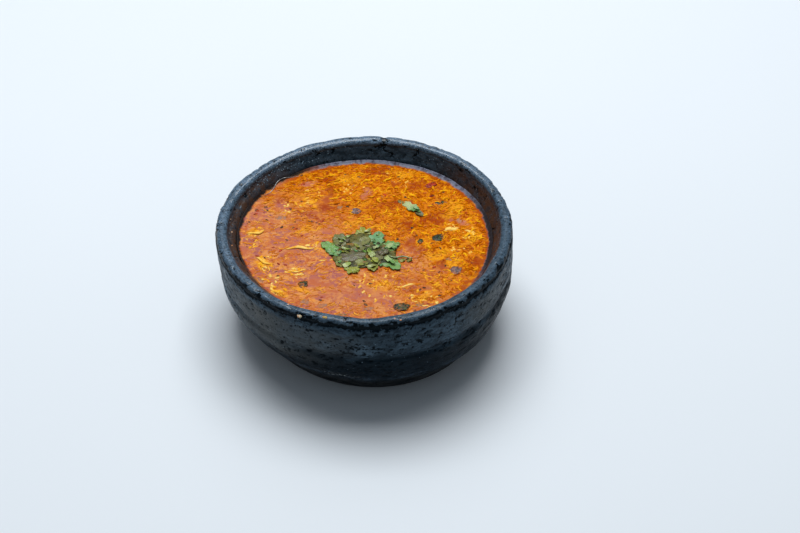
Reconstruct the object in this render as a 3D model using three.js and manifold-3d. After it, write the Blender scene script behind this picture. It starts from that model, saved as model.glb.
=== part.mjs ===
// Shredded chicken stew in a hand-made black clay bowl, with chopped coriander on top.
// Millimetres, +Z up. Seen from the front, +X is to the right and +Y is to the back.
// The origin is on the ground, under the middle of the whole.

import * as THREE from 'three';
import { mergeVertices } from 'three/addons/utils/BufferGeometryUtils.js';
import Module from 'manifold-3d';

const wasm = await Module();
wasm.setup();

// Driving dimensions of the bowl.
const RIM_RADIUS = 80; // widest ring, just under the crest of the rim
const RIM_HEIGHT = 60; // height of that ring
const RIM_THICKNESS = 7;
const CREST_RISE = 2.8; // from the widest ring up to the crest
const GROOVE_HEIGHT = 38; // shallow groove thrown round the wall
const GROOVE_DEPTH = 1.1;
const RIDGE_HEIGHT = 25; // edge where the wall turns under
const RIDGE_RADIUS = 76.6;
const BASE_RADIUS = 61.6;
const BASE_ROUNDING = 3; // of the edge round the flat base
const FLOOR_HEIGHT = 10.5; // inside, over the base

// Hand-made unevenness of the bowl.
const LEAN = 2.6; // how far the base sits to the right of the rim
const TILT = 1.8; // the wall's features and the rim are higher at the right, lower at the left
const OVAL = 0.9; // twofold wobble of the radius
const TRIANGULAR = 0.8; // threefold wobble of the radius
const RIM_WAVE = 0.8; // the crest rises at the front and back, and sinks at the sides

// Driving dimensions of the stew.
const STEW_LEVEL = 52.8;
const STEW_EDGE_HEIGHT = 54; // where the sauce climbs the wall
const STEW_EDGE_RADIUS = 69;
const CLIMB_RADIUS = 67.3; // where the sauce begins to climb the wall
const CLIMB_START = 0.3; // height it has there over its level
const SWELL = 0.45; // height of the slow waves in the surface
const GAP = 0.32; // clearance between neighbouring pieces
const POCKET_ROOM = 0.42; // by which the pockets in the stew are larger than what lies in them
const SHRED_COUNT = 84; // places tried for scattered shreds
const SHRED_SINK = 0.6; // how deep a shred's underside lies in the sauce
const SHRED_MARGIN = 0.8; // least distance of a scattered shred from the others
const BIT_MARGIN = 1.5; // and from the pieces afloat

// The coriander heap.
const HEAP = new THREE.Vector2(-1, -10.5);
const HEAP_WIDTH = 34;
const HEAP_DEPTH = 29;
const HEAP_SINK = 0.8; // below the level of the stew
const HEAP_RISE = 1.1; // above it
const HEAP_CALM = 25; // the stew lies level up to this distance from the heap's middle
const LEAF_THICKNESS = 0.6;
const LEAF_REACH = 8; // how far leaves stand out past the core

const BOWL_SEGMENTS = 52;
const TOP_RADIUS = 65; // outermost ring of the stew's level surface
const TOP_STEP = 5.5; // between its rings
const LEAF_SPOKES = 16;

const { PI, cos, sin } = Math;
const { lerp, smoothstep } = THREE.MathUtils;
const random = THREE.MathUtils.seededRandom;
random(20);

function between(low, high) {
  return lerp(low, high, random());
}

function point(r, z) {
  return new THREE.Vector2(r, z);
}

// ---------- solids ----------

// Makes a solid of a closed geometry.
function solidOf(geometry) {
  const bare = geometry.clone();
  bare.deleteAttribute('normal');
  bare.deleteAttribute('uv');
  const merged = mergeVertices(bare, 1e-4);
  const index = [...merged.index.array];
  const triangles = [];
  for (let i = 0; i < index.length; i += 3) {
    const [a, b, c] = index.slice(i, i + 3);
    if (a !== b && b !== c && c !== a) triangles.push(a, b, c);
  }
  return new wasm.Manifold(new wasm.Mesh({
    numProp: 3,
    vertProperties: new Float32Array(merged.attributes.position.array),
    triVerts: new Uint32Array(triangles),
  }));
}

// Fuses solids and keeps the largest outer skin: sealed hollows are filled, scraps dropped.
function fuse(solids) {
  const shells = wasm.Manifold.union(solids).decompose();
  return shells.reduce((best, shell) => (shell.volume() > best.volume() ? shell : best));
}

function meshOf(name, solid, material) {
  const { vertProperties, triVerts } = solid.getMesh();
  const geometry = new THREE.BufferGeometry();
  geometry.setAttribute('position', new THREE.BufferAttribute(vertProperties, 3));
  geometry.setIndex(new THREE.BufferAttribute(triVerts, 1));
  geometry.computeVertexNormals();
  const mesh = new THREE.Mesh(geometry, material);
  mesh.name = name;
  return mesh;
}

// Closed skin through rings of equal length, with a fan over each end.
function loft(rings) {
  const sides = rings[0].length;
  const last = (rings.length - 1) * sides;
  const index = [];
  for (let i = 0; i + 1 < rings.length; i += 1) {
    for (let j = 0; j < sides; j += 1) {
      const a = i * sides + j;
      const b = i * sides + ((j + 1) % sides);
      index.push(a, b, a + sides, b, b + sides, a + sides);
    }
  }
  for (let j = 1; j + 1 < sides; j += 1) {
    index.push(0, j + 1, j, last, last + j, last + j + 1);
  }
  const geometry = new THREE.BufferGeometry();
  geometry.setFromPoints(rings.flat());
  geometry.setIndex(index);
  return geometry;
}

// ---------- bowl ----------

// Moves a point of the perfectly round bowl to its place in the uneven one.
function handMade(vertex) {
  const { x, y, z } = vertex;
  const radius = Math.hypot(x, y);
  const angle = Math.atan2(y, x);
  const wobble = OVAL * cos(2 * angle + 1.33) + TRIANGULAR * cos(3 * angle - 2.37);
  const outside = smoothstep(radius, RIM_RADIUS - RIM_THICKNESS, RIM_RADIUS - 2);
  const lip = smoothstep(z, STEW_EDGE_HEIGHT + 1, RIM_HEIGHT);
  return new THREE.Vector3(
    x * (1 + wobble / RIM_RADIUS) + LEAN * (1 - z / RIM_HEIGHT),
    y * (1 + wobble / RIM_RADIUS),
    z + TILT * cos(angle) * Math.max(outside, lip) - RIM_WAVE * cos(2 * angle) * lip,
  );
}

function reshape(geometry, move) {
  const { position } = geometry.attributes;
  const vertex = new THREE.Vector3();
  for (let i = 0; i < position.count; i += 1) {
    vertex.fromBufferAttribute(position, i);
    position.setXYZ(i, ...move(vertex));
  }
  return geometry;
}

function revolve(outline) {
  return new THREE.LatheGeometry(outline, BOWL_SEGMENTS).rotateX(PI / 2);
}

// Points on a smooth curve, with so many steps between each two of the given points.
function through(points, steps = 2) {
  return new THREE.SplineCurve(points).getPoints(steps * (points.length - 1));
}

const hollowBelowStew = through([
  point(STEW_EDGE_RADIUS, STEW_EDGE_HEIGHT),
  point(66.5, 45),
  point(61.5, 31),
  point(53, 18),
  point(38, FLOOR_HEIGHT + 1),
  point(22, FLOOR_HEIGHT),
], 1);

function bowlOutline() {
  const underside = through([
    point(BASE_RADIUS, BASE_ROUNDING * 0.6),
    point(67, 9.5),
    point(72.8, 17),
    point(RIDGE_RADIUS, RIDGE_HEIGHT),
  ]);
  const wall = through([
    point(RIDGE_RADIUS, RIDGE_HEIGHT),
    point(78.3, 29.5),
    point(79.1, 34.5),
    point(79.3 - GROOVE_DEPTH, GROOVE_HEIGHT),
    point(79.5, 41.5),
    point(79.9, 50),
    point(RIM_RADIUS, RIM_HEIGHT),
  ]);
  const rim = new THREE.EllipseCurve(
    RIM_RADIUS - RIM_THICKNESS / 2, RIM_HEIGHT,
    RIM_THICKNESS / 2, CREST_RISE,
    0, PI,
  ).getPoints(8);
  const hollowAboveStew = through([
    point(RIM_RADIUS - RIM_THICKNESS, RIM_HEIGHT),
    point(71.4, 57.5),
    point(STEW_EDGE_RADIUS, STEW_EDGE_HEIGHT),
  ]);
  return [
    point(0, 0),
    point(BASE_RADIUS - BASE_ROUNDING, 0),
    ...underside,
    ...wall.slice(1),
    ...rim.slice(1),
    ...hollowAboveStew.slice(1),
    ...hollowBelowStew.slice(1),
    point(0, FLOOR_HEIGHT),
  ];
}

function bowlSolid() {
  return solidOf(reshape(revolve(bowlOutline()), handMade));
}

// ---------- stew ----------

// Level of the stew at a place: slow waves, calm round the coriander and along the wall.
function stewTop(x, y) {
  const calm = smoothstep(HEAP.distanceTo(point(x, y)), HEAP_CALM, HEAP_CALM + 14);
  const open = 1 - smoothstep(Math.hypot(x, y), STEW_EDGE_RADIUS - 8, STEW_EDGE_RADIUS - 2);
  const waves = sin(x / 5.3 + 1.3) * cos(y / 6.1) + 0.7 * sin(x / 8.9 - y / 4.7 + 2);
  return STEW_LEVEL + SWELL * calm * open * waves;
}

// The hollow's outline moved inwards by the gap.
function stewSide() {
  const wall = [...hollowBelowStew, point(0, FLOOR_HEIGHT)];
  const inner = wall.map((here, i) => {
    const before = wall[Math.max(i - 1, 0)];
    const after = wall[Math.min(i + 1, wall.length - 1)];
    const along = after.clone().sub(before).normalize();
    return point(here.x + along.y * GAP, here.y - along.x * GAP);
  });
  inner[inner.length - 1].x = 0;
  return inner.reverse();
}

function stewCore() {
  const side = stewSide();
  const top = [point(CLIMB_RADIUS, STEW_LEVEL + CLIMB_START)];
  for (let r = TOP_RADIUS; r > 0; r -= TOP_STEP) top.push(point(r, STEW_LEVEL));
  top.push(point(0, STEW_LEVEL));
  return solidOf(reshape(revolve([...side, ...top]), (vertex) => {
    const moved = handMade(vertex);
    const onTop = Math.abs(vertex.z - STEW_LEVEL) < 1e-4;
    if (onTop) moved.z = stewTop(moved.x, moved.y);
    return moved;
  }));
}

// A shred of meat: a strip along an arc, flat above, its ends dipping into the sauce.
function shred({ x, y, heading, length, width = 1.8, rise = 0.7, turn = 0.4, steps = 3 }) {
  const bow = length / turn;
  const rings = [];
  for (let i = 0; i <= steps; i += 1) {
    const t = i / steps - 0.5;
    const ahead = bow * sin(turn * t);
    const aside = bow * (1 - cos(turn * t));
    const facing = heading + turn * t;
    const cx = x + ahead * cos(heading) - aside * sin(heading);
    const cy = y + ahead * sin(heading) + aside * cos(heading);
    const half = (width / 2) * (1 - 1.6 * t * t);
    const level = stewTop(cx, cy);
    const top = level + rise * (1 - 3.2 * t * t);
    const corner = (side, z) => new THREE.Vector3(
      cx - side * half * sin(facing), cy + side * half * cos(facing), z,
    );
    rings.push([
      corner(-1, level - SHRED_SINK),
      corner(1, level - SHRED_SINK),
      corner(0.6, top),
      corner(-0.6, top),
    ]);
  }
  return solidOf(loft(rings));
}

// Shreds that stand out by themselves.
const NOTABLE_SHREDS = [
  { x: -34.8, y: -7.5, heading: 0.03, length: 17, width: 2, turn: 0.2 }, // long pale strand
  { x: 59, y: 1, heading: 1.2, length: 16, width: 2, rise: 1, turn: 4.6, steps: 9 }, // curl
  { x: 46.5, y: 8, heading: 0.2, length: 10, width: 2.6, rise: 1, turn: 0.7 },
  { x: -59, y: 5, heading: 0.3, length: 11, width: 2.4, rise: 0.9, turn: 0.8 },
  { x: -54, y: -19, heading: -0.6, length: 12, width: 2.4, rise: 0.9, turn: 0.6 },
  { x: -46.5, y: -43, heading: -0.8, length: 11, width: 2.2, rise: 1.1, turn: 0.4 }, // at the wall
  { x: -36, y: -26.5, heading: 0.1, length: 11, width: 2.2, turn: 0.5 },
  { x: 21.5, y: -38.5, heading: 0.2, length: 13, width: 2, turn: 0.5 },
];

// Pieces of herb and pepper afloat in the stew, half sunk.
const BITS = [
  { name: 'herb_piece_1', x: 39.5, y: 0.8, size: [8.4, 6.4, 2.6], heading: 0.3, kind: 'herb' },
  { name: 'herb_piece_2', x: 30, y: -2.2, size: [4.4, 3.4, 2], heading: 1, kind: 'herb' },
  { name: 'herb_piece_3', x: 20, y: -55.3, size: [9, 6.4, 2.6], heading: 0.1, kind: 'herb' },
  { name: 'herb_piece_4', x: -32.3, y: -37, size: [6.4, 5.2, 2.4], heading: 1.2, kind: 'herb' },
  { name: 'herb_piece_5', x: 41, y: 30.5, size: [7.4, 5.4, 2.4], heading: 0.2, kind: 'herb' },
  { name: 'onion_piece_1', x: 48.7, y: -26, size: [6.4, 6.2, 2.4], heading: 0.5, kind: 'onion' },
  { name: 'onion_piece_2', x: -5.5, y: 23.4, size: [6, 6, 2.4], heading: 0.4, kind: 'onion' },
  { name: 'pepper_piece', x: 36, y: 46.3, size: [7.6, 4.2, 2.4], heading: 0.5, kind: 'pepper' },
];
const BIT_RISE = 0.5; // height of a piece's middle over the stew

// A rounded, slightly dented lump. A pocket for it is the same lump with room on all sides.
function lump({ x, y, size, heading }, room = 0) {
  const [length, width, height] = size.map((value) => value / 2 + room);
  const ball = new THREE.IcosahedronGeometry(1, 1);
  return solidOf(reshape(ball, ({ x: u, y: v, z: w }) => {
    const dent = 1 + 0.1 * sin(3 * u + x) * cos(3 * v + y);
    const along = u * length * dent;
    const across = v * width * dent;
    return new THREE.Vector3(
      x + along * cos(heading) - across * sin(heading),
      y + along * sin(heading) + across * cos(heading),
      STEW_LEVEL + BIT_RISE + w * height,
    );
  }));
}

const LONE_LEAF = { x: 25, y: 26.8, heading: -0.8, length: 14.6, width: 7.5, rise: 0.9 };

// Whether a shred's place is clear of the coriander, the pieces afloat and other shreds.
function isClear(x, y, reach, placed) {
  const here = point(x, y);
  const blocks = [
    ...BITS.map((bit) => ({ ...bit, reach: bit.size[0] / 2 + BIT_MARGIN })),
    { ...LONE_LEAF, reach: LONE_LEAF.length / 2 + BIT_MARGIN },
    ...placed.map((other) => ({ ...other, reach: SHRED_MARGIN })),
  ];
  const room = LEAF_REACH + reach;
  const fromHeap = Math.hypot(
    (x - HEAP.x) / (HEAP_WIDTH / 2 + room),
    (y - HEAP.y) / (HEAP_DEPTH / 2 + room),
  );
  return fromHeap > 1 && blocks.every((block) => here.distanceTo(block) > block.reach + reach);
}

// Shreds spread evenly on a spiral: along X at the left, every way and bigger at the right.
function scatteredShreds() {
  const placed = [...NOTABLE_SHREDS];
  const turnStep = PI * (3 - Math.sqrt(5));
  for (let i = 0; i < SHRED_COUNT; i += 1) {
    const reach = (STEW_EDGE_RADIUS - 9) * Math.sqrt((i + 0.5) / SHRED_COUNT);
    const x = reach * cos(i * turnStep) + between(-2, 2);
    const y = reach * sin(i * turnStep) + between(-2, 2);
    const toRight = smoothstep(x, -30, 40);
    const length = between(6, 9) + 2 * toRight;
    const heading = between(-1, 1) * lerp(0.45, 1.6, toRight);
    const turn = between(0.15, 1) * (random() < 0.5 ? -1 : 1);
    const width = between(1.5, 2.1);
    if (isClear(x, y, length / 2, placed)) placed.push({ x, y, heading, length, width, turn });
  }
  return placed.map(shred);
}

function stewSolid(bits) {
  const stew = fuse([stewCore(), ...scatteredShreds()]);
  const pockets = bits.map((bit) => lump(bit, POCKET_ROOM));
  return stew.subtract(wasm.Manifold.union([heapCore(GAP), ...pockets]));
}

// ---------- coriander ----------

// The pressed middle of the heap, a low cushion that lies a little in the stew.
// The pocket for it has most room to the sides, where the cushion slopes least.
function heapCore(room = 0) {
  const ball = new THREE.SphereGeometry(1, 18, 6).rotateX(PI / 2);
  return solidOf(reshape(ball, ({ x, y, z }) => {
    const edge = 1 + 0.07 * cos(3 * Math.atan2(y, x) + 1);
    const flat = Math.sign(z) * Math.sqrt(Math.abs(z));
    const height = room + (flat > 0 ? HEAP_RISE : HEAP_SINK);
    return new THREE.Vector3(
      HEAP.x + x * (HEAP_WIDTH / 2 + 3 * room) * edge,
      HEAP.y + y * (HEAP_DEPTH / 2 + 3 * room) * edge,
      STEW_LEVEL + flat * height,
    );
  }));
}

// A lobed leaf, thin and wavy. Both faces have the same triangles.
// It lies at its rise over the stew and never comes nearer to it than the gap.
function leaf({ x, y, heading, length, width, rise, lobes = 3, curl = 0.6 }) {
  const rows = [0.55, 1]; // as shares of the way out to the edge
  const faces = [0, LEAF_THICKNESS].map((lift) => {
    const spots = [];
    for (const row of [0, ...rows]) {
      const spokes = row === 0 ? 1 : LEAF_SPOKES;
      for (let i = 0; i < spokes; i += 1) {
        const angle = (i / LEAF_SPOKES) * 2 * PI;
        const lobe = 1 - 0.26 * row * (1 - Math.abs(cos((lobes * angle) / 2)) ** 0.7);
        const tooth = 1 - 0.1 * row * (i % 2);
        const along = (length / 2) * row * lobe * tooth * cos(angle);
        const across = (width / 2) * row * lobe * tooth * sin(angle);
        const ripple = 0.35 * row * row * sin(2 * lobes * angle + x);
        const px = x + along * cos(heading) - across * sin(heading);
        const py = y + along * sin(heading) + across * cos(heading);
        const free = STEW_LEVEL + rise + curl * row * row * cos(angle) + ripple;
        spots.push(new THREE.Vector3(px, py, Math.max(free, stewTop(px, py) + GAP) + lift));
      }
    }
    return spots;
  });
  return solidOf(leafSkin(faces, rows.length));
}

// Joins the two faces of a leaf, each a middle point and rows of spokes round it.
function leafSkin([below, above], rows) {
  const n = LEAF_SPOKES;
  const shift = below.length;
  const index = [];
  const both = (a, b, c) => index.push(a, c, b, a + shift, b + shift, c + shift);
  for (let i = 0; i < n; i += 1) {
    const next = (i + 1) % n;
    both(0, 1 + i, 1 + next);
    for (let row = 1; row < rows; row += 1) {
      const inner = 1 + (row - 1) * n;
      const outer = inner + n;
      both(inner + i, outer + i, outer + next);
      both(inner + i, outer + next, inner + next);
    }
    const edge = 1 + (rows - 1) * n;
    index.push(edge + i, edge + next, edge + shift + next);
    index.push(edge + i, edge + shift + next, edge + shift + i);
  }
  const geometry = new THREE.BufferGeometry();
  geometry.setFromPoints([...below, ...above]);
  geometry.setIndex(index);
  return geometry;
}

// The leaves of the heap, from the lowest to the topmost.
const HEAP_LEAVES = [
  { x: -18.3, y: -7.5, heading: 2.6, length: 13, width: 10, rise: 0.7 }, // left end
  { x: -12.5, y: -2, heading: 2.2, length: 13, width: 11, rise: 0.8 },
  { x: -1, y: 4, heading: 1.7, length: 12, width: 10, rise: 0.8, lobes: 5 }, // back
  { x: 4, y: -21.5, heading: -1.4, length: 12, width: 10, rise: 0.7 },
  { x: -6.5, y: -24, heading: -1.9, length: 12, width: 10, rise: 0.7, lobes: 5 }, // front
  { x: -11.5, y: -19.5, heading: -2.4, length: 10, width: 8, rise: 0.8 },
  { x: -15.5, y: -12.5, heading: 3.3, length: 8, width: 6, rise: 1.1 },
  { x: -6.5, y: -15.5, heading: 0.2, length: 17, width: 10, rise: 1.2, curl: 0.3 }, // lying flat
  { x: -2, y: -5, heading: 1.2, length: 14, width: 12, rise: 1.2, curl: 0.4 },
  { x: 8.5, y: -12, heading: 0.4, length: 10, width: 8, rise: 1.3 },
  { x: 3.5, y: -16.5, heading: -1.2, length: 10, width: 6, rise: 1.3 },
  { x: 14, y: -20, heading: -0.9, length: 16, width: 11, rise: 0.9, curl: 0.9 }, // front right
  { x: 13, y: -7, heading: 0.3, length: 13, width: 10, rise: 1.3, curl: 0.9, lobes: 5 },
  { x: 6, y: -1, heading: 1.1, length: 13, width: 11, rise: 1.5, curl: 0.8 }, // topmost
];

// A cut stalk lying on the leaves.
function stalk({ x, y, heading, length, rise, thickness = 1.1 }) {
  const rings = [-0.5, 0.5].map((t) => {
    const ring = [];
    for (let i = 0; i < 6; i += 1) {
      const angle = (i / 6) * 2 * PI;
      const across = (thickness / 2) * cos(angle);
      ring.push(new THREE.Vector3(
        x + t * length * cos(heading) - across * sin(heading),
        y + t * length * sin(heading) + across * cos(heading),
        STEW_LEVEL + rise + (thickness / 2) * (1 + sin(angle)),
      ));
    }
    return ring;
  });
  return solidOf(loft(rings));
}

const STALKS = [
  { x: -12.5, y: -2, heading: -0.5, length: 5, rise: 1.3 },
  { x: -11, y: -10, heading: -0.4, length: 6, rise: 1.4 },
  { x: 19, y: -16.3, heading: -0.1, length: 13, rise: 0.9 }, // sprig to the right
];

function garnishSolid() {
  return fuse([heapCore(), ...HEAP_LEAVES.map(leaf), ...STALKS.map(stalk)]);
}

// ---------- materials and assembly ----------

function finish(colour, roughness) {
  return new THREE.MeshStandardMaterial({ color: colour, roughness, metalness: 0 });
}

const blackClay = finish('#23282c', 0.45);
const stewOrange = finish('#cf6a22', 0.3);
const coriander = finish('#4f7f48', 0.45);
const pieceFinishes = {
  herb: finish('#3b4a2e', 0.4),
  onion: finish('#7a6266', 0.4),
  pepper: finish('#a8240f', 0.35),
};

const whole = new THREE.Group();
whole.add(meshOf('bowl', bowlSolid(), blackClay));
whole.add(meshOf('stew', stewSolid(BITS), stewOrange));
whole.add(meshOf('coriander_heap', garnishSolid(), coriander));
whole.add(meshOf('coriander_leaf', leaf(LONE_LEAF), coriander));
for (const bit of BITS) whole.add(meshOf(bit.name, lump(bit), pieceFinishes[bit.kind]));

const middle = new THREE.Box3().setFromObject(whole).getCenter(new THREE.Vector3());
whole.position.set(-middle.x, -middle.y, 0);

const group = new THREE.Group();
group.name = 'chicken_stew_bowl';
group.add(whole);

export default group;
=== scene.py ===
"""Looks of the bowl of chicken stew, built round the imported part.

Lengths here are millimetres, turned into Blender's metres where a mesh is made.
+X is to the right, +Y to the back and +Z up, as in the part.
"""

import functools
import itertools
import math

import bpy
import numpy as np
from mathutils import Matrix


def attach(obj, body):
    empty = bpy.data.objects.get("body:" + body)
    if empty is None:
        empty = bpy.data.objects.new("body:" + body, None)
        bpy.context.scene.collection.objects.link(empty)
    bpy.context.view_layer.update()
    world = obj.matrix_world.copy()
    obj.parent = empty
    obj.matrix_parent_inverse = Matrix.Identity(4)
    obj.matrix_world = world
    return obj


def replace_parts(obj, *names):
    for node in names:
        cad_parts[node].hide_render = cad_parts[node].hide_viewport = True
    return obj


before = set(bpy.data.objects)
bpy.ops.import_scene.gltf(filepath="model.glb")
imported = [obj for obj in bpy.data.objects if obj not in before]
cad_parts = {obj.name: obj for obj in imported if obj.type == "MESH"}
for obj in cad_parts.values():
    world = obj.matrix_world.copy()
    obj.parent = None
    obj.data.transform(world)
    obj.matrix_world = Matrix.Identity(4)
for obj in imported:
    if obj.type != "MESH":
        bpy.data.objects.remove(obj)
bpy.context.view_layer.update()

MM = 0.001
TURN = 2 * math.pi
RIM_CENTRE = np.array([0.368, 0.558, 0.0])  # middle of the rim, from the middle of the whole

# The bowl, as in the part.
RIM_RADIUS = 80
RIM_HEIGHT = 60
RIM_THICKNESS = 7
CREST_RISE = 2.8
GROOVE_HEIGHT = 38
GROOVE_DEPTH = 1.1
RIDGE_HEIGHT = 25
RIDGE_RADIUS = 76.6
BASE_RADIUS = 61.6
BASE_ROUNDING = 3
FLOOR_HEIGHT = 10.5
LEAN = 2.6
TILT = 1.8
OVAL = 0.9
TRIANGULAR = 0.8
RIM_WAVE = 0.8

# Its marks, with painted shade and painted highlights.
SHADED_BAND_HEIGHT = 60.0  # black band along the outer edge of the rim, where it turns down: painted shade, with pits
SHADED_BAND_DEPTH = 0.55
NICK_ANGLE = 1.44  # small notch in the rim at the back
NICK_WIDTH = 1.8
NICK_DEPTH = 0.9
BACK_LEFT_ANGLE = 2.3  # middle of the pale specks inside the back left, and where the painted highlight on the rim's top is brightest
# Dull grey patches on the wall: angle, half width as an angle, lowest height and strength.
DUST_PATCHES = [(-2.36, 0.34, 24, 1.0), (-1.95, 0.3, 34, 0.6), (-0.62, 0.26, 36, 0.7)]
SCRAPE_ANGLE = -1.79  # pale scrapes low on the front
SCRAPE_HEIGHT = 21
RIDGE_HIGHLIGHT_HEIGHT = 19.5  # painted highlight: a lit line low on the wall, under the ridge

# The stew, as in the part.
STEW_LEVEL = 52.8
STEW_EDGE_HEIGHT = 54
STEW_EDGE_RADIUS = 69
HEAP = (-1, -10.5)
HEAP_WIDTH = 34
HEAP_DEPTH = 29
HEAP_SINK = 0.8
HEAP_RISE = 1.1

CLIMB_RADIUS = 65.4  # where the sauce begins to climb the wall, further in than in the part
SHRED_REACH = 67.4  # no meat lies further out
BOWL_SEGMENTS = 440
STEW_CELLS = 290
LATTICE = 32  # cells after which the noise repeats


# ---------- numbers ----------

def ease(value, low, high):
    """Goes smoothly from 0 to 1 as the value goes from low to high."""
    share = np.clip((value - low) / (high - low), 0, 1)
    return share * share * (3 - 2 * share)


def mix(a, b, share):
    return a + (b - a) * share


def bell(value, middle, reach):
    """1 at the middle, falling to 0 about two reaches away."""
    return np.exp(-(((value - middle) / reach) ** 2))


def noise(cells, seed):
    """Smooth noise between -1 and 1, with features about one cell large."""
    table = np.random.default_rng(seed).uniform(-1, 1, (LATTICE,) * 3)
    base = np.floor(cells).astype(int)
    part = cells - base
    part = part * part * (3 - 2 * part)
    total = np.zeros(cells.shape[:-1])
    for corner in itertools.product((0, 1), repeat=3):
        i, j, k = np.moveaxis((base + corner) % LATTICE, -1, 0)
        weight = np.where(corner, part, 1 - part).prod(-1)
        total += weight * table[i, j, k]
    return total


def waves(x, y, size, seed):
    """Noise over the plane, with features of that size."""
    return noise(np.stack([x / size, y / size, np.full_like(x, 0.5)], -1), seed)


def stacked(x, y, z):
    """Points from their coordinates, which may be of several shapes."""
    return np.stack(np.broadcast_arrays(x, y, z), -1)


def headed(x, y, heading, ahead, aside):
    """Place so far ahead and aside of x, y on that heading."""
    cos, sin = np.cos(heading), np.sin(heading)
    return x + ahead * cos - aside * sin, y + ahead * sin + aside * cos


def curve_through(points, steps):
    """Smooth curve through points, with so many steps between each two."""
    points = np.array(points, float)
    padded = np.vstack([points[:1], points, points[-1:]])
    t = np.arange(steps)[:, None] / steps
    stretches = []
    for before, start, end, after in zip(padded, padded[1:], padded[2:], padded[3:]):
        leave = (end - before) / 2
        arrive = (after - start) / 2
        stretches.append(
            (2 * start - 2 * end + leave + arrive) * t**3
            + (3 * end - 3 * start - 2 * leave - arrive) * t**2
            + leave * t
            + start
        )
    return np.vstack([*stretches, points[-1:]])


def ball_of(rows, columns):
    """Three shares of a ball's radius at a grid of points, from its lower to its upper end."""
    rise = np.linspace(-0.5, 0.5, rows + 2)[1:-1, None] * math.pi
    angle = np.linspace(0, TURN, columns, endpoint=False)[None, :]
    return np.cos(rise) * np.cos(angle), np.cos(rise) * np.sin(angle), np.sin(rise) + 0 * angle


# ---------- meshes: vertices, faces and attributes, which hold a value for each vertex ----------

def placed(name, data):
    made = bpy.data.objects.new(name, data)
    bpy.context.scene.collection.objects.link(made)
    return made


def piece(name, mesh, material):
    """A smooth mesh object that rides with the part."""
    vertices, faces, attributes = mesh
    data = bpy.data.meshes.new(name)
    data.from_pydata((vertices * MM).tolist(), [], faces)
    data.shade_smooth()
    for key, values in attributes.items():
        layer = data.attributes.new(key, "FLOAT", "POINT")
        layer.data.foreach_set("value", np.ascontiguousarray(values, np.float32).ravel())
    data.materials.append(material)
    made = placed(name, data)
    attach(made, "root")
    return made


def grid_faces(rows, columns):
    """Quads of a grid whose rows close on themselves."""
    i, j = np.meshgrid(np.arange(rows - 1), np.arange(columns), indexing="ij")
    here = i * columns + j
    beside = i * columns + (j + 1) % columns
    return np.stack([here, beside, beside + columns, here + columns], -1).reshape(-1, 4)


def grid_normals(grid):
    """Outward normals of a grid whose rows run round the part from below to above."""
    up = np.gradient(grid, axis=0)
    ahead = np.roll(grid, -1, axis=1) - np.roll(grid, 1, axis=1)
    normals = np.cross(ahead, up)
    return normals / np.maximum(np.linalg.norm(normals, axis=2, keepdims=True), 1e-9)


def closed_grid(grid):
    """Mesh of a grid, with a fan over its first and over its last row."""
    rows, columns = grid.shape[:2]
    vertices = np.vstack([grid.reshape(-1, 3), grid[:1].mean(1), grid[-1:].mean(1)])
    low, high = len(vertices) - 2, len(vertices) - 1
    start = (rows - 1) * columns
    faces = grid_faces(rows, columns).tolist()
    for j in range(columns):
        following = (j + 1) % columns
        faces.append([low, following, j])
        faces.append([high, start + j, start + following])
    return vertices, faces, {}


def joined(parts):
    """One mesh of many."""
    faces = []
    shift = 0
    for vertices, own_faces, _ in parts:
        faces += [[shift + index for index in face] for face in own_faces]
        shift += len(vertices)
    keys = parts[0][2].keys()
    attributes = {key: np.concatenate([part[2][key] for part in parts]) for key in keys}
    return np.vstack([part[0] for part in parts]), faces, attributes


def tinted(mesh, hue):
    """The mesh with the same hue all over."""
    return mesh[0], mesh[1], {"hue": np.full(len(mesh[0]), hue)}


# ---------- shader nodes ----------

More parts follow.
